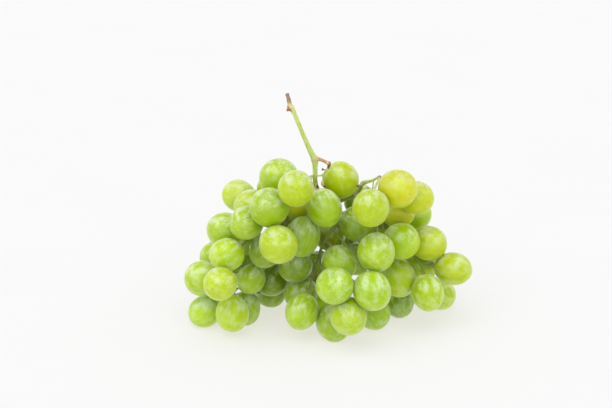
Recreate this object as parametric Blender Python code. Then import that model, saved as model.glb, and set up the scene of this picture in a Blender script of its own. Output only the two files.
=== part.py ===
"""A bunch of green table grapes lying on a table, as picked, with its stalk standing up.

The berries are placed on the bunch's face, group by group, and laid on one another, which gives
their depth. The stem is one grown piece: its main stalk and
two arms are placed by hand too, and its thin branches find the shortest ways through the gaps
between the berries, from the stalk to the stem end of every berry. A branch is as thick as the
number of berries on it asks for. Then everything settles: berries, branches and table are
pushed clear of each other.

Run with: blender --background --python part.py
The tables are in millimetres: x to the right, y to the back, z up from the table.
"""

import heapq
import itertools
import math

import bmesh
import bpy
import numpy as np
from mathutils import Matrix, Vector

MM = 0.001

# ---- driving dimensions, in millimetres ----
GAP = 0.35  # between a berry and whatever is next to it
SINK = 0.6  # how far a resting berry's round underside is pressed flat on the table
BERRY_SEGMENTS = 12
BERRY_RINGS = 8

PEDICEL_RADIUS = 0.7  # of the thin stem of a single berry
BRANCH_RADIUS_MOST = 1.2
BRANCH_GROWTH = 0.25  # the power by which a branch thickens with the berries it carries
BRANCH_SIDES = 5
LONGEST_RUN = 9  # between the rings of a branch
SHORTEST_RUN = 2.4
BEND_KEPT = math.cos(math.radians(14))  # a branch that turns more than this has a ring there
STALK_SIDES = 9
START_INSIDE = 0.4  # a branch starts this far behind its fork, inside the branch that bears it

# Where a pedicel widens into the cushion that holds its berry: height over the berry, radius.
CUSHION = [(3.4, 0.8), (1.6, 1.6), (0.4, 1.3)]
PEDICEL_STRAIGHT = 4.8  # the pedicel leaves its berry straight over this height

# How the branches look for their ways.
WAY_STEP = 1.7  # grid spacing of the search
WAY_CLEARANCE = 0.9  # least room between the middle of a way and any berry
OPEN_AIR = 9  # no way goes further than this from every berry
WAY_EASY = 1.8  # with less room than this a way is hard to grow through
WAY_AIRY = 4  # and with more room than this it would show too much
HEART_DEPTH = 52  # the branches grow along the bunch's middle where they can
AWAY_COST = 0.12  # what a way costs more for each millimetre that it lies from there
JOINING_REACH = 2.7  # a way that comes this near to a branch joins it
FORK_HEIGHT = 104  # above this the stalk bears no branches
LOWEST_STEM = 1.6  # of the middle of any branch, over the table
MOST_TURN = 1.3  # radians from the way that a berry was placed to the way that it ends up pointing
TURN_COST = 9
CUSHIONS_APART = 3.6  # from the middle of one cushion to the next one, or to the stalk

# How everything settles: the share of each overlap that one round takes away.
SETTLING_ROUNDS = 300
HELD_ROUNDS = 180  # for so long the berries are drawn back to where they were laid
HOLD = 0.04
BERRY_PUSH = 0.48
BRANCH_PUSH = 0.6
CUSHION_PUSH = 0.4
SMOOTHING = 0.25
DEEP_INSIDE = 6  # a stem point deeper inside a berry than this is on its far side already

# Which way a berry points away from its stem end, spelled with one or more of these letters.
POINTS_TO = {
    "R": (1, 0, 0),
    "L": (-1, 0, 0),
    "B": (0, 1, 0),
    "F": (0, -1, 0),
    "U": (0, 0, 1),
    "D": (0, 0, -1),
}

# ---- the berries ----
# Their middles are placed on the bunch's face, which leans back. A row gives how far to the right
# of the face's middle a berry is, how far up the face, and how deep in the bunch it may lie, in
# steps of 5. Then come its girth, its length, and where it points.
FACE_MIDDLE = (0, 40, 79)
FACE_LEAN = math.radians(22)
RESTING_HEIGHT = 12.5  # a berry with its middle below this lies on the table
BERRIES = {
    "crown": [
        (-16, 16, 50, 22.6, 23.6, "UF"),
        (-6, 9, 20, 20.5, 24.0, "FU"),
        (-21, -2, 30, 22.5, 23.5, "FL"),
        (11, -2, 30, 20.0, 25.0, "D"),
        (24, 12, 50, 21.5, 22.5, "FU"),
        (-6, 5, 55, 20.0, 21.0, "F"),
        (-20, 9, 70, 20.0, 21.0, "BU"),
    ],
    "left_shoulder": [
        (-41, 5, 70, 19.5, 21.0, "LBU"),
        (-32, -3, 55, 21.5, 22.5, "LU"),
        (-35, -11, 40, 19.5, 21.0, "LF"),
        (-48, -16, 50, 21.5, 22.5, "LU"),
        (-36, -22, 60, 18.0, 19.0, "B"),
    ],
    "left_wing": [
        (-55, -33, 55, 20.0, 21.0, "LB"),
        (-47, -30, 30, 19.5, 21.0, "LF"),
        (-63, -45, 40, 21.0, 22.0, "L"),
        (-50, -46, 15, 19.0, 20.0, "LF"),
        (-33, -45, 40, 17.0, 19.5, "FD"),
        (-62, -66, 45, 19.0, 20.5, "DL"),
        (-44, -66, 30, 20.0, 22.0, "D"),
        (-38, -65, 45, 18.0, 21.0, "D"),
        (-39, -38, 65, 19.0, 20.0, "BL"),
    ],
    "heart": [
        (-21, -47, 50, 19.0, 20.0, "F"),
        (-22, -55, 65, 18.5, 20.0, "D"),
        (-6, -37, 40, 20.0, 20.5, "FD"),
        (-2, -20, 35, 20.5, 24.5, "D"),
        (-16, -23, 20, 21.5, 23.5, "FDR"),
        (-24, -28, 35, 19.5, 21.0, "LD"),
        (-2, -54, 45, 20.0, 21.0, "D"),
        (15, -19, 60, 19.0, 20.0, "B"),
        (31, -11, 45, 21.0, 22.0, "FR"),
        (19, -36, 35, 20.5, 22.0, "FD"),
        (30, -34, 50, 19.0, 20.0, "FD"),
    ],
    "right_shoulder": [
        (38, -2, 25, 21.0, 22.0, "FD"),
        (54, 9, 35, 22.0, 24.0, "FU"),
        (66, 4, 45, 19.5, 20.5, "R"),
        (68, -6, 65, 19.0, 20.0, "RB"),
        (56, -4, 55, 21.5, 21.5, "RF"),
        (57, -22, 35, 21.5, 22.0, "RF"),
        (74, -25, 45, 21.0, 22.0, "R"),
        (47, -16, 60, 18.5, 19.5, "B"),
    ],
    "right_wing": [
        (90, -39, 40, 19.5, 23.0, "R"),
        (85, -57, 65, 18.5, 19.5, "RD"),
        (73, -53, 30, 19.0, 23.0, "FD"),
        (57, -45, 40, 21.5, 24.0, "D"),
        (58, -59, 50, 18.5, 20.5, "D"),
        (71, -38, 55, 20.0, 21.5, "BR"),
    ],
    "front": [
        (42, -29, 25, 22.0, 23.5, "FD"),
        (39, -50, 15, 21.5, 24.0, "FD"),
        (17, -48, 15, 21.5, 22.0, "F"),
        (25, -66, 20, 21.5, 24.0, "FD"),
        (17, -72, 30, 21.0, 24.0, "D"),
        (-2, -64, 25, 19.5, 22.5, "LFD"),
        (42, -67, 35, 19.5, 20.0, "D"),
        (8, -58, 60, 21.0, 22.0, "FD"),
    ],
    "back": [
        (-12, -12, 65, 20.5, 21.5, "B"),
        (2, -7, 75, 20.5, 21.5, "B"),
        (34, 2, 70, 20.0, 21.0, "B"),
        (24, -22, 75, 19.0, 20.0, "B"),
        (7, -40, 70, 20.0, 21.0, "B"),
    ],
}

# ---- the main stalk, from its cut end down into the bunch: x, y, z and radius ----
STALK = [
    (-10.9, 42, 148, 1.1),
    (-10, 42, 144.8, 1.15),
    (-9.3, 42, 141.4, 1.4),
    (-8.7, 42, 139.4, 2.1),
    (-7.1, 42, 136.8, 1.45),
    (-4.2, 42.5, 129.4, 1.25),
    (0.1, 43.5, 118.1, 1.4),
    (3.9, 45, 109, 1.75),
    (5.4, 46, 105.4, 2.2),
    (5.7, 46, 100.5, 1.5),
    (5.9, 46.5, 90, 1.4),
    (9, 49, 83, 1.4),
    (16, 51, 78, 1.4),
    (20, 51, 72, 1.2),
    (20, 49, 65, 1.1),
    (14, 47, 57, 1.0),
    (10, 46, 49, 0.9),
    (7, 48, 38, 0.9),
    (2, 50, 28, 0.8),
]

# ---- the arms that leave it, and the dry twigs whose berries have dropped ----
RIGHT_ARM = [
    (18, 51, 75.5, 1.2),
    (25, 53, 77.5, 1.1),
    (30.5, 52, 80.5, 1.0),
    (33.2, 50, 85, 0.9),
    (34.2, 47, 89.8, 1.4),
    (39.2, 42.5, 93.2, 0.8),
    (44, 37, 98, 0.8),
]
LEFT_ARM = [(14, 50.5, 79, 1.2), (9, 57, 79, 1.1), (-2, 61, 80, 1.0), (-11, 58, 78, 0.9)]
DRY_TWIGS = [
    [
        (5.4, 46, 105.4, 1.6),
        (7.8, 45.4, 106, 1.2),
        (10.3, 45, 105.2, 1.0),
        (12.8, 43.5, 104.4, 1.2),
        (14.6, 43, 103.6, 1.7),
    ],
    [
        (14.2, 43, 103.6, 1.1),
        (13.4, 42.2, 101.4, 0.8),
        (11.8, 42.4, 98.6, 0.7),
        (9.2, 43, 96.4, 0.6),
        (6, 45.5, 95.4, 0.6),
    ],
    [(10.6, 42.7, 97.5, 0.6), (10.4, 42.4, 94, 0.5), (10.2, 41.9, 91.4, 1.2), (11.6, 41.3, 89.6, 0.7)],
    [(13, 42.3, 100.6, 0.6), (11.3, 42, 100.5, 0.45), (9.7, 41.6, 100.9, 0.9)],
    [(5.7, 46, 97, 0.7), (3.4, 44, 96, 0.5), (2.2, 42.4, 95.8, 0.5), (0.8, 41.8, 95.9, 0.6)],
    [(4.4, 44.8, 96.4, 0.6), (3.2, 43, 94, 0.45), (3.4, 42.4, 91.6, 0.7)],
    [(-8.7, 42, 139.2, 1.2), (-10, 41.5, 138.2, 0.9), (-11.2, 41.2, 138, 0.8)],
    [(34.2, 47, 89.6, 1.1), (32.2, 46, 88.8, 0.7), (30.8, 45.6, 88.4, 0.9)],
    [(40.5, 41, 94.5, 0.6), (40.2, 39.5, 91, 0.5), (39.6, 38.5, 88.6, 0.8)],
]


def smooth_path(points, per_span=3):
    """A Catmull-Rom curve through the points, in every column, the radius included."""
    points = np.array(points, float)
    ends = np.vstack([2 * points[0] - points[1], points, 2 * points[-1] - points[-2]])
    path = []
    for a, b, c, d in zip(ends, ends[1:], ends[2:], ends[3:]):
        for step in range(per_span):
            t = step / per_span
            bend = (2 * a - 5 * b + 4 * c - d) * t**2 + (3 * b - a - 3 * c + d) * t**3
            path.append(b + 0.5 * ((c - a) * t + bend))
    path.append(points[-1])
    return np.array(path)


def unit(vectors):
    return vectors / np.linalg.norm(vectors, axis=-1, keepdims=True)


def lay_on_the_face(rows, girth):
    """The berries' middles: each is slid back into the bunch, those that lie deepest first.

    A berry stops at its own depth, or before it where it meets a berry already laid or the table.
    """
    upward = np.array([0, math.sin(FACE_LEAN), math.cos(FACE_LEAN)])
    outward = np.array([0, -math.cos(FACE_LEAN), math.sin(FACE_LEAN)])
    middle = np.zeros((len(rows), 3))
    laid = []
    for index in sorted(range(len(rows)), key=lambda berry: -rows[berry][2]):
        across, up, depth = rows[index][:3]
        on_face = np.array(FACE_MIDDLE) + up * upward + (across, 0, 0)
        stops = [(on_face[1] - depth) / -outward[1]]
        stops.append((girth[index] - SINK - on_face[2]) / outward[2])
        for other in laid:
            away = middle[other] - on_face
            along = away @ outward
            room = (girth[index] + girth[other] + GAP) ** 2 - (away @ away - along**2)
            if room > 0:
                stops.append(along + math.sqrt(room))
        middle[index] = on_face + max(stops) * outward
        laid.append(index)
    return middle


class Berries:
    """All the berries: names, middles, the ways they point, half girths and half lengths."""

    def __init__(self, groups):
        self.names = [
            f"{group}_berry_{number}" for group, rows in groups.items() for number in range(1, len(rows) + 1)
        ]
        rows = [row for group in groups.values() for row in group]
        self.girth = np.array([row[3] for row in rows]) / 2
        self.middle = lay_on_the_face(rows, self.girth)
        self.placed = self.middle.copy()
        self.length = np.array([row[4] for row in rows]) / 2
        letters = [np.sum([POINTS_TO[letter] for letter in row[5]], axis=0) for row in rows]
        self.axis = unit(np.array(letters, float))
        self.resting = self.middle[:, 2] < RESTING_HEIGHT

    def reach(self, which, directions):
        """How far the berries extend from their middles in the given directions."""
        along = (directions * self.axis[which]).sum(-1)
        return np.sqrt(self.girth[which] ** 2 + (self.length[which] ** 2 - self.girth[which] ** 2) * along**2)

    def rooms(self, points):
        """For every berry and point: the room from skin to point, and the skin's outward direction."""
        offset = points[None] - self.middle[:, None]
        along = (offset * self.axis[:, None]).sum(-1)
        across = offset - along[..., None] * self.axis[:, None]
        girth = self.girth[:, None]
        length = self.length[:, None]
        scaled = np.sqrt((across**2).sum(-1) / girth**2 + (along / length) ** 2) + 1e-9
        outward = across / girth[..., None] ** 2 + (along / length**2)[..., None] * self.axis[:, None]
        steepness = np.linalg.norm(outward, axis=-1) + 1e-9
        return scaled * (scaled - 1) / steepness, outward / steepness[..., None]

    def stem_ends(self, height):
        """The points at a height over the middles of the berries' stem ends."""
        return self.middle - self.axis * (self.length + height)[:, None]


class Grid:
    """The space between the berries, cut into cells, with the shortest ways from the stalk."""

    STEPS = [step for step in itertools.product((-1, 0, 1), repeat=3) if any(step)]

    def __init__(self, berries, starts):
        self.low = berries.middle.min(0) - 14
        self.low[2] = 1.5
        high = berries.middle.max(0) + 12
        self.shape = np.ceil((high - self.low) / WAY_STEP).astype(int)
        cells = np.stack(np.meshgrid(*[np.arange(count) for count in self.shape], indexing="ij"), -1)
        points = self.low + cells.reshape(-1, 3) * WAY_STEP
        room = np.concatenate([berries.rooms(part)[0].min(0) for part in np.array_split(points, 40)])
        tight = np.clip(WAY_EASY - room, 0, None) * 1.5
        airy = np.clip(room - WAY_AIRY, 0, None) * 0.35
        away = np.abs(points[:, 1] - HEART_DEPTH) * AWAY_COST
        self.cost = 1 + tight + airy + away
        self.cost[(room < WAY_CLEARANCE) | (room > OPEN_AIR)] = np.inf
        self.search(starts)

    def cell(self, point):
        at = np.clip(np.rint((point - self.low) / WAY_STEP).astype(int), 1, self.shape - 2)
        return int(np.ravel_multi_index(at, self.shape))

    def point(self, cell):
        return self.low + np.array(np.unravel_index(cell, self.shape)) * WAY_STEP

    def search(self, starts):
        """Fills in how far every cell is from the stalk, and the next cell on the way to it."""
        width, height = int(self.shape[1]), int(self.shape[2])
        moves = [((i * width + j) * height + k, math.sqrt(i * i + j * j + k * k)) for i, j, k in self.STEPS]
        inner = np.zeros(self.shape, bool)
        inner[1:-1, 1:-1, 1:-1] = True
        cost = np.where(inner.ravel(), self.cost, np.inf).tolist()
        self.far = [math.inf] * len(cost)
        self.onward = [-1] * len(cost)
        heap = []
        for cell in {self.cell(start) for start in starts}:
            self.far[cell] = 0.0
            heap.append((0.0, cell))
        heapq.heapify(heap)
        while heap:
            far, cell = heapq.heappop(heap)
            if far > self.far[cell]:
                continue
            for move, length in moves:
                other = cell + move
                reached = far + length * cost[other]
                if reached < self.far[other]:
                    self.far[other] = reached
                    self.onward[other] = cell
                    heapq.heappush(heap, (reached, other))


def spread_directions(count):
    """Directions spread evenly over a sphere, along a golden spiral."""
    turns = np.arange(count) * math.pi * (3 - math.sqrt(5))
    heights = 1 - 2 * (np.arange(count) + 0.5) / count
    flat = np.sqrt(1 - heights**2)
    return np.stack([flat * np.cos(turns), flat * np.sin(turns), heights], -1)


def turn_to_the_ways(berries, grid, stem_points):
    """Turns each berry so that its stem end faces open space, near to the stalk by the gaps."""
    candidates = spread_directions(260)
    taken = stem_points
    for index in range(len(berries.names)):
        turn = np.arccos(np.clip(candidates @ berries.axis[index], -1, 1))
        best = (math.inf, None, None)
        for axis, angle in zip(candidates, turn):
            pole = berries.middle[index] - axis * berries.length[index]
            head = pole - axis * CUSHION[1][0]
            outer = pole - axis * PEDICEL_STRAIGHT
            if angle > MOST_TURN or min(head[2], outer[2]) < LOWEST_STEM + 1:
                continue
            room = np.delete(berries.rooms(head[None])[0], index, axis=0).min()
            if room < CUSHION[1][1] or np.linalg.norm(taken - head, axis=1).min() < CUSHIONS_APART:
                continue
            score = grid.far[grid.cell(outer)] + TURN_COST * angle**2
            if score < best[0]:
                best = (score, axis, head)
        assert best[1] is not None, f"no branch can reach {berries.names[index]}"
        berries.axis[index] = best[1]
        taken = np.vstack([taken, best[2]])


class Tree:
    """The stem as points, each with the point that it grew from."""

    def __init__(self, berries, grid, roots):
        self.points = [tuple(point) for point in roots[:, :3]]
        self.parent = [-1] * len(roots)
        self.carried = [0] * len(roots)
        self.tips = [0] * len(berries.names)
        first_cells = [grid.cell(end) for end in berries.stem_ends(PEDICEL_STRAIGHT)]
        for index in sorted(range(len(berries.names)), key=lambda i: -grid.far[first_cells[i]]):
            cell = first_cells[index]
            way = [grid.point(cell)]
            while self.near(grid.point(cell)) < 0:
                cell = grid.onward[cell]
                way.append(grid.point(cell))
            if len(way) > 1:
                way.pop()
            before = self.near(grid.point(cell))
            for point in reversed(way):
                before = self.grow(point, before)
            tip = self.grow(berries.stem_ends(CUSHION[0][0])[index], before)
            self.tips[index] = tip
            while tip >= 0:
                self.carried[tip] += 1
                tip = self.parent[tip]
        self.points = np.array(self.points, float)
        self.parent = np.array(self.parent)
        self.free = self.parent >= 0
        self.free[self.tips] = False
        wanted = PEDICEL_RADIUS * np.maximum(self.carried, 1) ** BRANCH_GROWTH
        self.radius = np.minimum(wanted, BRANCH_RADIUS_MOST)
        self.radius[: len(roots)] = roots[:, 3]

    def near(self, point):
        """The nearest stem point, or -1 where none is within JOINING_REACH."""
        distance = np.linalg.norm(np.array(self.points) - point, axis=1)
        nearest = int(distance.argmin())
        return nearest if distance[nearest] < JOINING_REACH else -1

    def grow(self, point, parent):
        self.points.append(tuple(point))
        self.parent.append(parent)
        self.carried.append(0)
        return len(self.points) - 1

    def smooth(self):
        """Moves every free point towards the middle of the points that it is joined to."""
        child = np.flatnonzero(self.parent >= 0)
        parent = self.parent[child]
        total = np.zeros_like(self.points)
        count = np.zeros(len(self.points))
        np.add.at(total, child, self.points[parent])
        np.add.at(total, parent, self.points[child])
        np.add.at(count, child, 1)
        np.add.at(count, parent, 1)
        aim = total / np.maximum(count, 1)[:, None]
        self.points[self.free] += SMOOTHING * (aim - self.points)[self.free]


def push_berries_apart(berries):
    """Pushes overlapping berries away from each other."""
    first, second = np.triu_indices(len(berries.names), 1)
    apart = berries.middle[second] - berries.middle[first]
    distance = np.linalg.norm(apart, axis=-1)
    way = apart / distance[:, None]
    needed = berries.reach(first, way) + berries.reach(second, way) + GAP
    push = way * (np.clip(needed - distance, 0, None) * BERRY_PUSH)[:, None]
    np.add.at(berries.middle, second, push)
    np.add.at(berries.middle, first, -push)


def rest_on_table(berries):
    """Puts the resting berries on the table, and keeps the others clear of it."""
    up = np.array([0, 0, 1.0])
    reach = berries.reach(slice(None), up)
    height = berries.middle[:, 2]
    height[:] = np.where(berries.resting, reach - SINK, np.maximum(height, reach + GAP))


def push_from_stem(berries, points, radii, free):
    """Pushes berries and stem points apart. The stem points that aren't free stay."""
    room, outward = berries.rooms(points)
    short = np.clip(radii + GAP - room, 0, None)
    short[room < -DEEP_INSIDE] = 0
    push = short[..., None] * outward
    share = np.where(free, BRANCH_PUSH, 0)
    points += push.sum(0) * share[:, None]
    back = (push * (1 - share)[None, :, None]).sum(1)
    count = np.maximum((short > 0).sum(1), 1)
    berries.middle -= back / count[:, None]


def push_from_cushions(berries):
    """Pushes berries away from each other's cushions."""
    height, radius = CUSHION[1]
    room, outward = berries.rooms(berries.stem_ends(height))
    np.fill_diagonal(room, radius + GAP)
    push = np.clip(radius + GAP - room, 0, None)[..., None] * outward
    berries.middle += CUSHION_PUSH * (push.sum(0) - push.sum(1))


def settle(berries, stalk, tree=None):
    """Pushes everything clear of everything else, a little at a time."""
    held = np.zeros(len(stalk), bool)
    for turn in range(SETTLING_ROUNDS):
        if turn < HELD_ROUNDS:
            berries.middle += HOLD * (berries.placed - berries.middle)
        push_berries_apart(berries)
        push_from_stem(berries, stalk[:, :3].copy(), stalk[:, 3], held)
        if tree is not None:
            tree.smooth()
            tree.points[tree.tips] = berries.stem_ends(CUSHION[0][0])
            push_from_cushions(berries)
            push_from_stem(berries, tree.points, tree.radius, tree.free)
            np.maximum(tree.points[:, 2], LOWEST_STEM, out=tree.points[:, 2])
        rest_on_table(berries)


def tube(name, points, radii, sides):
    """A closed round tube through the points, with a radius at each."""
    points = np.array(points, float)
    ahead = unit(np.gradient(points, axis=0))
    across = unit(np.cross(ahead[0], (0.31, 0.87, 0.39)))
    mesh = bmesh.new()
    rings = []
    for point, forward, radius in zip(points, ahead, radii):
        across = unit(across - forward * (across @ forward))
        side = np.cross(forward, across)
        ring = []
        for corner in range(sides):
            angle = math.tau * corner / sides
            spot = point + radius * (math.cos(angle) * across + math.sin(angle) * side)
            ring.append(mesh.verts.new(spot * MM))
        rings.append(ring)
    for lower, upper in zip(rings, rings[1:]):
        for corner in range(sides):
            after = (corner + 1) % sides
            mesh.faces.new((lower[corner], lower[after], upper[after], upper[corner]))
    mesh.faces.new(rings[0][::-1])
    mesh.faces.new(rings[-1])
    return new_object(name, mesh)


def new_object(name, mesh):
    data = bpy.data.meshes.new(name)
    mesh.to_mesh(data)
    mesh.free()
    made = bpy.data.objects.new(name, data)
    bpy.context.scene.collection.objects.link(made)
    return made


def make_material(name, colour, roughness):
    material = bpy.data.materials.new(name)
    material.use_nodes = True
    shader = material.node_tree.nodes["Principled BSDF"]
    shader.inputs["Base Color"].default_value = (*colour, 1)
    shader.inputs["Roughness"].default_value = roughness
    shader.inputs["Metallic"].default_value = 0
    return material


def make_berry(berries, index, material):
    """One berry, pressed flat where it rests on the table."""
    middle = Vector(berries.middle[index] * MM)
    turn = Vector(berries.axis[index]).to_track_quat("Z", "Y").to_matrix().to_4x4()
    girth = berries.girth[index] * MM
    size = Matrix.Diagonal((girth, girth, berries.length[index] * MM, 1))
    mesh = bmesh.new()
    bmesh.ops.create_uvsphere(
        mesh, u_segments=BERRY_SEGMENTS, v_segments=BERRY_RINGS, radius=1, matrix=turn @ size
    )
    if min(vert.co.z for vert in mesh.verts) < -middle.z:
        cut = bmesh.ops.bisect_plane(
            mesh,
            geom=mesh.verts[:] + mesh.edges[:] + mesh.faces[:],
            plane_co=(0, 0, -middle.z),
            plane_no=(0, 0, -1),
            clear_outer=True,
        )
        rim = [item for item in cut["geom_cut"] if isinstance(item, bmesh.types.BMEdge)]
        bmesh.ops.contextual_create(mesh, geom=rim)
    bmesh.ops.recalc_face_normals(mesh, faces=mesh.faces)
    berry = new_object(berries.names[index], mesh)
    berry.location = middle
    berry.data.materials.append(material)
    berry.data.shade_smooth()
    return berry


def straightened(tree, way):
    """The points between the way's two ends, without those that it runs almost straight past."""
    kept = []
    last = tree.points[way[0]]
    for here, after in zip(way[1:], way[2:]):
        run = np.linalg.norm(tree.points[here] - last)
        bend = unit(tree.points[here] - last) @ unit(tree.points[after] - tree.points[here])
        forks = np.count_nonzero(tree.parent == here) > 1
        if forks or run > LONGEST_RUN or bend < BEND_KEPT and run > SHORTEST_RUN:
            kept.append(here)
            last = tree.points[here]
    return kept


def branch_tubes(tree, berries):
    """A tube for every branch: each starts inside the branch that it grew from."""
    made = tree.parent < 0
    depth = np.zeros(len(tree.points), int)
    for index in np.flatnonzero(tree.parent >= 0):
        depth[index] = depth[tree.parent[index]] + 1
    tubes = []
    for index in sorted(range(len(berries.names)), key=lambda i: -depth[tree.tips[i]]):
        way = [tree.tips[index]]
        while not made[way[-1]]:
            made[way[-1]] = True
            way.append(tree.parent[way[-1]])
        start, *rest = way[::-1]
        kept = [start, *straightened(tree, [start, *rest]), rest[-1]]
        points = [tree.points[i] for i in kept]
        radii = [tree.radius[i] for i in kept]
        radii[0] = radii[1] * 0.9
        points[0] = points[0] - START_INSIDE * unit(points[1] - points[0])
        for height, radius in CUSHION[1:]:
            points.append(berries.stem_ends(height)[index])
            radii.append(radius)
        tubes.append(tube(f"branch_{index}", points, radii, BRANCH_SIDES))
    return tubes


def make_stem(tree, berries, stalk, material):
    """The stalk, its arms, branches and twigs, grown together into one piece."""
    stem = tube("stem", stalk[:, :3], stalk[:, 3], STALK_SIDES)
    parts = [tube("arm", *arm_columns(arm), STALK_SIDES) for arm in (RIGHT_ARM, LEFT_ARM)]
    parts += [tube("twig", *arm_columns(twig), BRANCH_SIDES) for twig in DRY_TWIGS]
    parts += branch_tubes(tree, berries)
    branches = bpy.data.collections.new("branches")
    for part in parts:
        bpy.context.scene.collection.objects.unlink(part)
        branches.objects.link(part)
    joining = stem.modifiers.new("grown_together", "BOOLEAN")
    joining.operation = "UNION"
    joining.solver = "MANIFOLD"
    joining.operand_type = "COLLECTION"
    joining.collection = branches
    bpy.context.view_layer.update()
    grown = bpy.data.meshes.new_from_object(stem.evaluated_get(bpy.context.evaluated_depsgraph_get()))
    stem.modifiers.clear()
    stem.data = grown
    grown.materials.clear()
    grown.materials.append(material)
    grown.shade_smooth()
    for part in parts:
        bpy.data.objects.remove(part)
    bpy.data.collections.remove(branches)
    return stem


def arm_columns(rows):
    path = smooth_path(rows)
    return path[:, :3], path[:, 3]


def centre_over_origin(things):
    """Moves everything so that the middle of its footprint is at the origin."""
    corners = np.array([thing.location + vert.co for thing in things for vert in thing.data.vertices])
    middle = (corners.min(axis=0) + corners.max(axis=0)) / 2
    for thing in things:
        thing.location -= Vector((middle[0], middle[1], 0))


def main():
    for thing in list(bpy.data.objects):
        bpy.data.objects.remove(thing)
    berries = Berries(BERRIES)
    stalk = smooth_path(STALK)
    arms = [smooth_path(arm) for arm in (RIGHT_ARM, LEFT_ARM)]
    framework = np.vstack([stalk, *arms, *map(smooth_path, DRY_TWIGS)])
    settle(berries, framework)
    roots = np.vstack([stalk[stalk[:, 2] < FORK_HEIGHT], *arms])
    grid = Grid(berries, roots[:, :3])
    turn_to_the_ways(berries, grid, framework[:, :3])
    tree = Tree(berries, grid, roots)
    settle(berries, framework, tree)
    skin = make_material("berry_skin", (0.42, 0.55, 0.12), 0.35)
    bark = make_material("stem_bark", (0.36, 0.34, 0.10), 0.6)
    things = [make_berry(berries, index, skin) for index in range(len(berries.names))]
    things.append(make_stem(tree, berries, stalk, bark))
    centre_over_origin(things)


main()
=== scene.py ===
"""A bunch of green table grapes lying on a pale table, with its stalk standing up.

Every berry is a copy of one model berry, which has the low neck and hollow of the stem end and
the small dry scar of the far end. The copy is stretched, turned and put where its solid is,
made a little uneven, and pressed flat where it lies on the table. The stem is refined from its
solid: rounded, roughened, and coloured from green to the dry brown of its cut end and twigs.
Lengths are in metres, as in the frame, unless a name ends in _MM.
"""

import math
import random

import bpy
import numpy as np
from mathutils import Matrix, Vector


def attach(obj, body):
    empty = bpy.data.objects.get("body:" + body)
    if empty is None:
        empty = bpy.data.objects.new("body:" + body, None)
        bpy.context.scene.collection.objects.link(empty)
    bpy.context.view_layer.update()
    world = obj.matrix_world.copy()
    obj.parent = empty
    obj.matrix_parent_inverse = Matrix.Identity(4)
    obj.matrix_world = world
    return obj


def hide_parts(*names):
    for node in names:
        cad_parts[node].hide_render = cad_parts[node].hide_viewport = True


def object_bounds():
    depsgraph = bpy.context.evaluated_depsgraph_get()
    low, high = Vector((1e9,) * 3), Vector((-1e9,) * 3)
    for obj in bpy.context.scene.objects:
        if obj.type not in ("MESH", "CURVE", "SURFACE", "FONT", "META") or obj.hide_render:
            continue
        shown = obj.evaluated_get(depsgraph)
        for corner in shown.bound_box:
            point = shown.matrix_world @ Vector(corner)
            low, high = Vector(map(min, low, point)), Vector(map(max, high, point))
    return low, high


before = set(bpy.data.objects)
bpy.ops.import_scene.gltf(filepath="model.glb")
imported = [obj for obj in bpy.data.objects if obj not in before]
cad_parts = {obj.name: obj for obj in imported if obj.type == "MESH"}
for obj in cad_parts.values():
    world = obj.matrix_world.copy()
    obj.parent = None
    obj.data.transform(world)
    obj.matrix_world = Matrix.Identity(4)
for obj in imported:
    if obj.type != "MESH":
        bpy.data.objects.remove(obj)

CAD_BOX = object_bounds()
MM = 0.001

# ---- the camera: where it looks, from how far and how steeply down, and its lens ----
LOOKS_AT_MM = (-13.6, 2.5, 79.0)
DISTANCE_MM = 918.0
LOOKS_DOWN = math.radians(22)
LENS_MM = 90.0
SENSOR_MM = 36
NEAREST_SHOWN = 0.01

# ---- the way to the middle of the room's broad lamp: overhead, to the front, a little left ----
LIGHT_FROM = (-0.15, -0.47, 0.87)
# ---- how bright the lamp and the walls are, and the wall behind the bunch higher up ----
LAMP = 1.55
WALL = 0.96
WALL_BEHIND = 0.5

# ---- the table: its width, and how far it is below the flats that the berries rest on ----
TABLE_WIDTH = 6
TABLE_BELOW = 0.0001

# ---- how ripe a berry is: 0 is fresh green, 1 is golden. The others draw theirs by chance ----
GOLDEN = {
    "right_shoulder_berry_1": 0.45,
    "right_shoulder_berry_2": 1.0,
    "right_shoulder_berry_3": 0.75,
    "right_shoulder_berry_5": 0.85,
    "right_shoulder_berry_7": 0.6,
    "right_wing_berry_1": 0.55,
    "right_wing_berry_3": 0.3,
    "crown_berry_2": 0.45,
    "crown_berry_5": 0.5,
    "crown_berry_6": 0.8,
    "heart_berry_5": 0.4,
    "heart_berry_8": 0.7,
    "left_wing_berry_4": 0.4,
    "left_wing_berry_7": 0.3,
    "left_shoulder_berry_1": 0.5,
    "left_shoulder_berry_2": 0.4,
}
# ---- how deep a green it has, from 0 to 1: partly the berry's own colour, partly painted shade for berries deep in the bunch or low down. The others draw theirs by chance ----
DEEP = {
    "crown_berry_3": 0.3,
    "crown_berry_4": 0.3,
    "right_shoulder_berry_1": 0.2,
    "left_shoulder_berry_3": 0.2,
    "front_berry_1": 0.15,
    "front_berry_4": 0.15,
    "front_berry_5": 0.4,
    "left_wing_berry_8": 0.4,
    "heart_berry_1": 0.9,
    "heart_berry_2": 0.8,
    "heart_berry_3": 0.85,
    "heart_berry_4": 0.45,
    "heart_berry_5": 0.15,
    "heart_berry_6": 0.6,
    "heart_berry_7": 0.6,
    "heart_berry_8": 0.5,
    "heart_berry_9": 0.6,
    "heart_berry_10": 0.15,
    "left_wing_berry_5": 0.3,
    "right_wing_berry_5": 0.75,
    "front_berry_7": 0.35,
}
# ---- what the others draw from: a ripeness, and a depth of green, deeper in the two groups inside and behind the bunch, partly as painted shade ----
RIPENESS_DRAW = (0.0, 0.3)
GREEN_DRAW = (0.0, 0.2)
DEEP_GREEN_DRAW = (0.35, 0.8)
DEEP_GROUPS = ("heart", "back")
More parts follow.
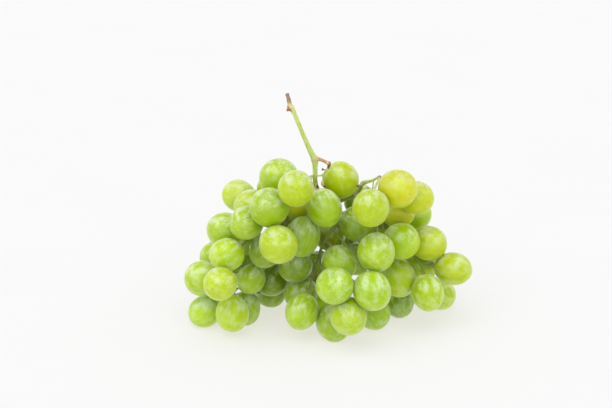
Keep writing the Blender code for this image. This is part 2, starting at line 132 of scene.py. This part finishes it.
# ---- how much bloom each group's berries have below; on top there is always a painted whitish highlight with some bloom ----
MILKY = {
    "crown": 0.0,
    "right_shoulder": 0.05,
    "heart": 0.15,
    "back": 0.15,
    "left_shoulder": 0.25,
    "front": 0.4,
    "left_wing": 0.4,
    "right_wing": 0.45,
}

# ---- where the stem is woody: the middle of each patch, how far it reaches, and how woody ----
# The middles are measured from a spot on the table, under the front of the bunch and a little
# left of its middle.
MEASURED_FROM_MM = (-13.6, -37.5, 0)
WOOD_MM = [
    ((-10.5, 42, 149), 10, 0.8),
    ((-10.3, 41.5, 138.5), 3.6, 0.85),
    ((5.7, 45.5, 106), 3.4, 0.42),
    ((8.7, 44.8, 106.4), 2.6, 0.6),
    ((11.3, 43.8, 105), 2.6, 0.7),
    ((14.5, 43, 103.8), 3.0, 0.85),
    ((14.1, 42, 102.4), 2.6, 1.0),
    ((9.7, 41.6, 100.9), 2.0, 0.95),
    ((10.2, 41.9, 91.2), 2.2, 0.95),
    ((11.6, 41.3, 89.6), 2.6, 1.0),
    ((0.8, 41.8, 95.9), 2.2, 0.9),
    ((3.4, 42.4, 91.6), 2.2, 0.9),
    ((5.8, 46.2, 88.4), 3.0, 0.9),
    ((44, 37, 98.2), 2.4, 0.9),
    ((34.2, 47, 89.8), 2.6, 0.7),
    ((30.8, 45.6, 88.4), 2.2, 0.9),
    ((39.6, 38.5, 88.6), 2.2, 0.95),
    ((31, 52, 81), 3.0, 0.5),
]

# The size of the grains that the stem's mesh is remade from.
STEM_GRAIN = 0.00034
# From a berry's stem end, how far a cushion is all warty, and where it ends.
CUSHION_MM = (1.6, 3.6)
# The heights between which the stem goes from a duller green, painted shade inside the bunch, to
# its bright green.
PAINTED_SHADE_BELOW = 0.085
PAINTED_SHADE_ENDS_ABOVE = 0.1

# Ripe berries press together: each is this many times as large as its solid.
PRESSED = 1.035
# A berry whose middle is lower than this lies on the table.
RESTING_BELOW = 0.0125
# A point of a solid that is higher than this isn't on the flat that it rests on.
OFF_THE_FLAT = 0.00002
# Points of a solid that are no farther apart than this are one point.
SAME_POINT = 0.000002
# A berry's solid has this many triangles around the point at each of its two ends.
FACES_AT_AN_END = 12
# How far apart the berries are in the pattern of the skin, so that no two look the same.
SKIN_APART = 9.0


# ---------------------------------------------------------------- working on meshes

def take(piece):
    """Makes the piece the only selected one, and the active one."""
    bpy.ops.object.select_all(action="DESELECT")
    bpy.context.view_layer.objects.active = piece
    piece.select_set(True)


def edit(piece, kind, wanted):
    """Opens the piece for editing with only its "faces" or "points" selected that are wanted."""
    take(piece)
    bpy.ops.object.mode_set(mode="EDIT")
    bpy.context.tool_settings.mesh_select_mode = (kind == "points", False, kind == "faces")
    bpy.ops.mesh.select_all(action="DESELECT")
    bpy.ops.object.mode_set(mode="OBJECT")
    for part in piece.data.polygons if kind == "faces" else piece.data.vertices:
        part.select = wanted(part)
    bpy.ops.object.mode_set(mode="EDIT")


def leave_edit():
    bpy.ops.object.mode_set(mode="OBJECT")


def terrace(*steps):
    """Narrows the selected faces and then raises them, for each step's inset and rise."""
    for inset, rise in steps:
        if inset:
            bpy.ops.mesh.inset(thickness=inset)
        if rise:
            bpy.ops.transform.translate(value=(0, 0, rise))


def finish_with(piece, kind, **settings):
    """Adds a modifier and applies it."""
    take(piece)
    modifier = piece.modifiers.new(kind.lower(), kind)
    for name, value in settings.items():
        setattr(modifier, name, value)
    bpy.ops.object.modifier_apply(modifier=modifier.name)


def points_of(mesh):
    """The places of the mesh's points, one in each row."""
    places = np.zeros(len(mesh.vertices) * 3)
    mesh.vertices.foreach_get("co", places)
    return places.reshape(-1, 3)


def put_points(mesh, places):
    mesh.vertices.foreach_set("co", np.asarray(places, float).ravel())
    mesh.update()


def note_on_points(mesh, name, values):
    """Keeps a number or a vector on every point of the mesh, for its material to read."""
    values = np.asarray(values, float)
    kind, key = ("FLOAT_VECTOR", "vector") if values.ndim == 2 else ("FLOAT", "value")
    note = mesh.attributes.get(name) or mesh.attributes.new(name, kind, "POINT")
    note.data.foreach_set(key, values.ravel())


def unevenness(name, size, depth=2):
    """A cloudy texture for a modifier that pushes points in and out."""
    texture = bpy.data.textures.new(name, "CLOUDS")
    texture.noise_scale = size
    texture.noise_depth = depth
    return texture


# ---------------------------------------------------------------- materials

def paint(red, green, blue):
    """The colour with these parts, each from 0 to 255 as on a screen, as a shader takes it."""
    def light(part):
        part /= 255
        return part / 12.92 if part <= 0.04045 else ((part + 0.055) / 1.055) ** 2.4
    return (light(red), light(green), light(blue), 1)


class Finish:
    """The nodes of a material or of the room: adds nodes, sets their sockets and links them."""

    def __init__(self, owner):
        owner.use_nodes = True
        self.owner = owner
        self.tree = owner.node_tree
        self.shader = self.tree.nodes.get("Principled BSDF") or self.tree.nodes["Background"]

    def feed(self, socket, value):
        if isinstance(value, bpy.types.NodeSocket):
            self.tree.links.new(value, socket)
        else:
            socket.default_value = value

    def node(self, kind, settings=None, **sockets):
        made = self.tree.nodes.new(kind)
        for name, value in (settings or {}).items():
            setattr(made, name, value)
        for name, value in sockets.items():
            self.feed(made.inputs[name.replace("_", " ")], value)
        return made

    def surface(self, **sockets):
        for name, value in sockets.items():
            self.feed(self.shader.inputs[name.replace("_", " ")], value)

    def note(self, name, output="Fac"):
        """What note_on_points kept on the mesh by that name."""
        return self.node("ShaderNodeAttribute", {"attribute_name": name}).outputs[output]

    def place(self):
        return self.node("ShaderNodeTexCoord").outputs["Object"]

    def scaled(self, vector, scale):
        return self.node("ShaderNodeMapping", Vector=vector, Scale=scale).outputs[0]

    def noise(self, vector, scale, detail=2.0, roughness=0.5):
        made = self.node("ShaderNodeTexNoise", Vector=vector, Scale=scale, Detail=detail,
                         Roughness=roughness)
        return made.outputs["Fac"]

    def specks(self, vector, scale):
        return self.node("ShaderNodeTexVoronoi", Vector=vector, Scale=scale).outputs["Distance"]

    def between(self, value, low, high, to_low=0.0, to_high=1.0):
        """The value's way from low to high, eased, as a number from to_low to to_high."""
        made = self.node("ShaderNodeMapRange", {"interpolation_type": "SMOOTHSTEP"})
        for socket, number in zip(made.inputs, (value, low, high, to_low, to_high)):
            self.feed(socket, number)
        return made.outputs[0]

    def combine(self, kind, one, other):
        made = self.node("ShaderNodeMath", {"operation": kind})
        self.feed(made.inputs[0], one)
        self.feed(made.inputs[1], other)
        return made.outputs[0]

    def mix(self, share, under, over):
        """The colour under, with that share of the colour over."""
        made = self.node("ShaderNodeMix", {"data_type": "RGBA"})
        self.feed(made.inputs[0], share)
        self.feed(made.inputs[6], under)
        self.feed(made.inputs[7], over)
        return made.outputs[2]

    def part(self, vector, axis):
        return self.node("ShaderNodeSeparateXYZ", Vector=vector).outputs[axis]

    def bump(self, height, strength, distance):
        made = self.node("ShaderNodeBump", Height=height, Strength=strength, Distance=distance)
        return made.outputs[0]


def berry_skin():
    """Thin waxy skin over clear flesh, with veins, bloom, freckles and the scar of the far end, a
    painted highlight on top, and deeper greens that are partly painted shade.
    """
    skin = Finish(bpy.data.materials.new("grape_skin"))
    spot = skin.note("skin_place", "Vector")
    ends = skin.note("ends", "Vector")
    kind = skin.note("ripeness", "Vector")
    golden, deep, freckled = (skin.part(kind, axis) for axis in "XYZ")

    cloudy = skin.between(skin.noise(spot, 1.1, 1.0), 0.3, 0.7)
    fresh = skin.mix(cloudy, paint(157, 194, 0), paint(174, 206, 8))
    ripe = skin.mix(cloudy, paint(206, 202, 0), paint(199, 205, 8))
    colour = skin.mix(golden, fresh, ripe)
    # A deeper green: partly the berry's own, partly painted shade for berries deep in the bunch.
    colour = skin.mix(deep, colour, paint(110, 138, 14))

    veins = skin.noise(skin.scaled(spot, (1, 1, 0.14)), 4.2)
    colour = skin.mix(skin.between(veins, 0.52, 0.75, 0, 0.28), colour, paint(208, 222, 104))
    colour = skin.mix(skin.between(veins, 0.46, 0.25, 0, 0.2), colour, paint(132, 168, 10))

    # The bloom, a whitish dust of wax rubbed off in places, and a painted whitish highlight on the
    # top of each berry, where the light from overhead falls.
    painted_highlight_on_top = skin.between(skin.note("upward"), 0.0, 0.8)
    cover = skin.combine("MAXIMUM", painted_highlight_on_top, skin.note("milky"))
    streaky = skin.noise(skin.scaled(spot, (1, 1, 0.6)), 2.4, 4.0, 0.66)
    bloom_and_highlight = skin.combine("MULTIPLY", skin.between(streaky, 0.4, 0.63), cover)
    whitish_share = skin.between(golden, 0.0, 1.0, 0.7, 0.45)
    # Whitish: bloom, and on top a painted highlight; less of both on golden berries.
    colour = skin.mix(skin.combine("MULTIPLY", bloom_and_highlight, whitish_share), colour, paint(214, 226, 196))

    freckle = skin.between(skin.specks(spot, 2.4), 0.11, 0.05)
    here_and_there = skin.between(skin.noise(spot, 1.3), 0.5, 0.6)
    freckle = skin.combine("MULTIPLY", freckle, here_and_there)
    colour = skin.mix(skin.combine("MULTIPLY", freckle, freckled), colour, paint(158, 122, 50))
    russet = skin.between(skin.noise(spot, 2.6, 3.0), 0.66, 0.78)
    russet = skin.combine("MULTIPLY", russet, freckled)
    colour = skin.mix(skin.combine("MULTIPLY", russet, 0.4), colour, paint(200, 160, 70))

    from_scar = skin.part(ends, "X")
    from_stem = skin.part(ends, "Y")
    colour = skin.mix(skin.between(from_scar, 0.2, 0.06, 0, 0.25), colour, paint(196, 200, 90))
    colour = skin.mix(skin.between(from_scar, 0.06, 0.03, 0, 0.5), colour, paint(150, 130, 60))
    colour = skin.mix(skin.between(from_stem, 0.32, 0.14, 0, 0.8), colour, paint(186, 180, 100))

    pores = skin.combine("MULTIPLY", skin.noise(spot, 60.0), 0.25)
    fine = skin.combine("ADD", skin.noise(spot, 7.0), pores)
    skin.surface(
        Base_Color=colour,
        Roughness=skin.between(bloom_and_highlight, 0.0, 1.0, 0.3, 0.5),
        IOR=1.42,
        Specular_IOR_Level=0.2,
        Subsurface_Weight=1.0,
        Subsurface_Radius=(0.9, 1.0, 0.12),
        Subsurface_Scale=0.014,
        Coat_Weight=0.5,
        Coat_Roughness=0.08,
        Coat_IOR=1.5,
        Sheen_Weight=0.32,
        Sheen_Roughness=0.3,
        Sheen_Tint=(0.95, 1.0, 0.75, 1),
        Normal=skin.bump(fine, 0.08, 0.0004),
    )
    return skin.owner


def stem_bark():
    """Green where the stem is young, brown and cracked where it is cut, forked or dry, and darker
    with painted shade low down inside the bunch.
    """
    bark = Finish(bpy.data.materials.new("stem_bark"))
    place = bark.place()
    woody = bark.note("woody")
    cushion = bark.note("cushion")
    inside = bark.note("inside")
    streaks = bark.noise(bark.scaled(place, (1, 1, 0.12)), 900, 3.0, 0.6)
    patches = bark.noise(place, 170, 4.0, 0.65)

    green = bark.mix(bark.between(streaks, 0.35, 0.65), paint(182, 204, 84), paint(212, 224, 142))
    green = bark.mix(bark.between(patches, 0.58, 0.78, 0, 0.5), green, paint(192, 164, 98))
    # Painted shade: a duller green low down, inside the bunch.
    green = bark.mix(inside, green, paint(142, 158, 70))
    beige = bark.mix(bark.between(streaks, 0.4, 0.6), paint(204, 190, 118), paint(218, 196, 140))
    brown = bark.mix(bark.between(patches, 0.35, 0.65), paint(158, 110, 80), paint(200, 158, 120))
    brown = bark.mix(bark.between(streaks, 0.5, 0.7, 0, 0.5), brown, paint(104, 74, 54))
    dark = bark.mix(bark.between(patches, 0.4, 0.6), paint(66, 48, 38), paint(128, 88, 70))
    uneven = bark.combine("ADD", woody, bark.between(patches, 0.3, 0.7, -0.12, 0.12))
    colour = bark.mix(bark.between(uneven, 0.05, 0.4), green, beige)
    colour = bark.mix(bark.between(uneven, 0.35, 0.75), colour, brown)
    colour = bark.mix(bark.between(uneven, 0.75, 1.0), colour, dark)
    warts = bark.mix(bark.between(bark.specks(place, 1100), 0.25, 0.45),
                     paint(150, 108, 80), paint(190, 164, 112))
    colour = bark.mix(bark.between(cushion, 0.2, 0.8, 0, 0.85), colour, warts)

    rough = bark.combine("ADD", streaks, bark.combine("MULTIPLY", bark.specks(place, 1300), 0.5))
    bark.surface(
        Base_Color=colour,
        Roughness=bark.between(patches, 0.3, 0.7, 0.45, 0.7),
        Subsurface_Weight=0.15,
        Subsurface_Radius=(0.8, 1.0, 0.3),
        Subsurface_Scale=0.0015,
        Normal=bark.bump(rough, 0.5, 0.0003),
    )
    return bark.owner


def pale_table():
    """A pale sheet that glows a little by itself, so that shadows on it stay pale."""
    table = Finish(bpy.data.materials.new("pale_table"))
    soft = table.between(table.noise(table.place(), 12), 0.3, 0.7)
    table.surface(
        Base_Color=table.mix(soft, paint(146, 148, 162), paint(147, 149, 163)),
        Roughness=0.8,
        Specular_IOR_Level=0.0,
        Emission_Color=(1, 0.98, 0.87, 1),
        Emission_Strength=0.63,
    )
    return table.owner


# ---------------------------------------------------------------- the berries

def model_berry():
    """The berry that all the others are copied from: radius 1, with its stem end at the top."""
    bpy.ops.mesh.primitive_uv_sphere_add(segments=24, ring_count=16, radius=1)
    berry = bpy.context.object
    berry.name = "model_berry"
    # The stem end: a shallow hollow with a low neck in it, which meets the stem's cushion.
    edit(berry, "faces", lambda face: face.center.z > 0.98)
    terrace((0, -0.022), (0.035, 0.012), (0.018, 0.04), (0.03, 0.006))
    leave_edit()
    # The far end: a small sunken ring with the dry nub of the flower in its middle.
    edit(berry, "faces", lambda face: face.center.z < -0.98)
    terrace((0.095, 0.004), (0.03, 0.016), (0.02, -0.02), (0.015, 0))
    leave_edit()
    finish_with(berry, "SUBSURF", levels=2, render_levels=2)
    # Smoothing makes it smaller: back to radius 1 all round, and at the far end.
    places = points_of(berry.data)
    places[:, :2] /= np.hypot(places[:, 0], places[:, 1]).max()
    places[:, 2] /= -places[:, 2].min()
    put_points(berry.data, places)
    berry.data.shade_smooth()
    out = np.hypot(places[:, 0], places[:, 1])
    from_scar = np.where(places[:, 2] < 0, out, 1.0)
    from_stem = np.where(places[:, 2] > 0, out, 1.0)
    note_on_points(berry.data, "ends", np.column_stack([from_scar, from_stem, 0 * out]))
    return berry


def merged_copy(node, name):
    """A new piece with the node's own shape, whose loose triangles are joined up."""
    piece = bpy.data.objects.new(name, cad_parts[node].data.copy())
    bpy.context.scene.collection.objects.link(piece)
    take(piece)
    bpy.ops.object.mode_set(mode="EDIT")
    bpy.ops.mesh.select_all(action="SELECT")
    bpy.ops.mesh.remove_doubles(threshold=SAME_POINT)
    leave_edit()
    return piece


def ellipsoid_middle(places):
    """The middle of the ellipsoid that the places lie on."""
    about = places.mean(0)
    centimetre = 0.01
    x, y, z = ((places - about) / centimetre).T
    terms = np.column_stack([x * x, y * y, z * z, x * y, x * z, y * z, x, y, z])
    a, b, c, d, e, f, g, h, i = np.linalg.lstsq(terms, np.ones(len(x)), rcond=None)[0]
    square = np.array([[2 * a, d, e], [d, 2 * b, f], [e, f, 2 * c]])
    return about + centimetre * np.linalg.solve(square, -np.array([g, h, i]))


def berry_fit(node, stem_points):
    """Where the node's berry is: its middle, the way to its stem end, half girth, half length."""
    solid = merged_copy(node, "measured")
    places = points_of(solid.data)
    meet = np.zeros(len(places), int)
    for face in solid.data.polygons:
        for point in face.vertices:
            meet[point] += 1
    round_part = places[:, 2] > OFF_THE_FLAT
    middle = ellipsoid_middle(places[round_part])
    # Its stem end is the one of its two ends that is nearer to the stem.
    ends = places[round_part & (meet == FACES_AT_AN_END)]
    stem_end = min(ends, key=lambda end: np.linalg.norm(stem_points - end, axis=1).min())
    half_length = np.linalg.norm(stem_end - middle)
    way = (stem_end - middle) / half_length
    # Its girth is measured around its waist, away from both ends.
    apart = places[round_part] - middle
    along = apart @ way
    aside = np.linalg.norm(apart - np.outer(along, way), axis=1)
    waist = np.abs(along) < 0.7 * half_length
    half_girth = np.median(aside[waist] / np.sqrt(1 - (along[waist] / half_length) ** 2))
    bpy.data.objects.remove(solid)
    return middle, way, half_girth, half_length


def kept_inside(places):
    """The places, moved as little as brings them inside the box of the solids."""
    low, high = np.array(CAD_BOX[0]), np.array(CAD_BOX[1])
    return places + np.maximum(low - places.min(0), 0) - np.maximum(places.max(0) - high, 0)


def make_berry(node, number, model, stem_points, skin, lumps):
    """Makes the berry that stands for the node, and returns where its stem end is."""
    middle, way, half_girth, half_length = berry_fit(node, stem_points)
    half_girth *= PRESSED
    half_length *= PRESSED
    chance = random.Random(number)
    piece = model.copy()
    piece.data = model.data.copy()
    piece.name = f"grape_{node}"
    bpy.context.scene.collection.objects.link(piece)

    # How its skin looks.
    places = points_of(piece.data)
    note_on_points(piece.data, "skin_place", places + (SKIN_APART * number, 0, 0))
    golden = GOLDEN.get(node, chance.uniform(*RIPENESS_DRAW))
    green_draw = DEEP_GREEN_DRAW if node.startswith(DEEP_GROUPS) else GREEN_DRAW
    deep = DEEP.get(node, chance.uniform(*green_draw))
    freckled = chance.uniform(0.1, 1.0)
    note_on_points(piece.data, "ripeness", np.tile((golden, deep, freckled), (len(places), 1)))
    milky = MILKY[node.partition("_berry")[0]]
    note_on_points(piece.data, "milky", np.full(len(places), milky))

    # No berry is quite round, and each hangs turned its own way on its stem.
    oval = 1 + chance.uniform(-0.015, 0.015)
    shape = Matrix.Diagonal((half_girth * oval, half_girth / oval, half_length, 1))
    spin = Matrix.Rotation(chance.uniform(0, 2 * math.pi), 4, "Z")
    turn = Vector(way).to_track_quat("Z", "Y").to_matrix().to_4x4()
    piece.data.transform(Matrix.Translation(middle) @ turn @ shape @ spin)
    finish_with(piece, "DISPLACE", texture=lumps, texture_coords="LOCAL",
                strength=0.0006, mid_level=0.5)
    # How high each point stands on the berry, which places the painted highlight on its top.
    note_on_points(piece.data, "upward", (points_of(piece.data)[:, 2] - middle[2]) / half_girth)

    # It lies flat where it rests on the table.
    if middle[2] < RESTING_BELOW:
        edit(piece, "points", lambda point: point.co.z < 0)
        bpy.ops.transform.resize(value=(1, 1, 0), center_override=(0, 0, 0))
        leave_edit()
    put_points(piece.data, kept_inside(points_of(piece.data)))
    piece.data.materials.clear()
    piece.data.materials.append(skin)
    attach(piece, "root")
    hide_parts(node)
    return middle + way * half_length


# ---------------------------------------------------------------- the stem

def ease(values, low, high):
    """How far the values are on the way from low to high, from 0 to 1, eased at both ends."""
    share = np.clip((values - low) / (high - low), 0, 1)
    return share * share * (3 - 2 * share)


def make_stem(bark, berry_ends):
    """Makes the stem, with a cushion wherever a berry's stem end meets it."""
    stem = merged_copy("stem", "grape_stem")
    finish_with(stem, "REMESH", mode="VOXEL", voxel_size=STEM_GRAIN)
    finish_with(stem, "SMOOTH", factor=0.5, iterations=5)
    finish_with(stem, "DISPLACE", texture=unevenness("knotty", 0.0016, 3), texture_coords="LOCAL",
                strength=0.00045, mid_level=0.35)
    places = points_of(stem.data)
    from_end = np.min([np.linalg.norm(places - end, axis=1) for end in berry_ends], axis=0)
    full, none = CUSHION_MM
    note_on_points(stem.data, "cushion", 1 - ease(from_end, full * MM, none * MM))
    woody = np.zeros(len(places))
    for middle, reach, how_woody in WOOD_MM:
        away = np.linalg.norm(places - np.add(MEASURED_FROM_MM, middle) * MM, axis=1)
        woody = np.maximum(woody, how_woody * (1 - ease(away, 0.5 * reach * MM, reach * MM)))
    note_on_points(stem.data, "woody", woody)
    # Painted shade: the stem's green is darker low down, inside the bunch.
    note_on_points(stem.data, "inside", 1 - ease(places[:, 2], PAINTED_SHADE_BELOW, PAINTED_SHADE_ENDS_ABOVE))
    put_points(stem.data, kept_inside(places))
    stem.data.shade_smooth()
    stem.data.materials.clear()
    stem.data.materials.append(bark)
    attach(stem, "root")
    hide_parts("stem")


# ---------------------------------------------------------------- the table, light and camera

def set_table():
    bpy.ops.mesh.primitive_plane_add(size=TABLE_WIDTH, location=(0, 0, -TABLE_BELOW))
    table = bpy.context.object
    table.name = "table"
    table.data.transform(table.matrix_world)
    table.matrix_world = Matrix.Identity(4)
    table.data.materials.append(pale_table())


def set_light():
    """A white room, with its brightest light overhead and its far wall darker higher up."""
    scene = bpy.context.scene
    scene.view_settings.view_transform = "Standard"
    scene.view_settings.look = "None"
    scene.world = bpy.data.worlds.new("white_room")
    room = Finish(scene.world)
    way = room.node("ShaderNodeTexCoord").outputs["Generated"]
    high = room.part(way, "Z")
    behind = room.between(room.part(way, "Y"), -0.2, 0.5)
    darker = room.combine("MULTIPLY", behind, room.between(high, 0.25, 0.5))
    wall = room.between(darker, 0.0, 1.0, WALL, WALL_BEHIND)
    facing = room.node("ShaderNodeVectorMath", {"operation": "DOT_PRODUCT"})
    room.feed(facing.inputs[0], way)
    room.feed(facing.inputs[1], LIGHT_FROM)
    lamp = room.between(facing.outputs["Value"], 0.8, 0.93, 0.0, LAMP)
    room.surface(Color=(1, 1, 1, 1), Strength=room.combine("ADD", wall, lamp))


def set_camera():
    lens = bpy.data.cameras.new("camera")
    lens.lens = LENS_MM
    lens.sensor_width = SENSOR_MM
    lens.clip_start = NEAREST_SHOWN
    camera = bpy.data.objects.new("camera", lens)
    ahead = Vector((0, math.cos(LOOKS_DOWN), -math.sin(LOOKS_DOWN)))
    camera.location = (Vector(LOOKS_AT_MM) - DISTANCE_MM * ahead) * MM
    camera.rotation_euler = ahead.to_track_quat("-Z", "Y").to_euler()
    bpy.context.scene.collection.objects.link(camera)
    bpy.context.scene.camera = camera


# ---------------------------------------------------------------- all together

set_camera()
set_light()
set_table()

skin = berry_skin()
model = model_berry()
lumps = unevenness("lumps", 0.011)
stem_points = points_of(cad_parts["stem"].data)
berry_nodes = sorted(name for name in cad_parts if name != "stem")
berry_ends = [
    make_berry(node, number, model, stem_points, skin, lumps)
    for number, node in enumerate(berry_nodes)
]
bpy.data.objects.remove(model)
make_stem(stem_bark(), berry_ends)
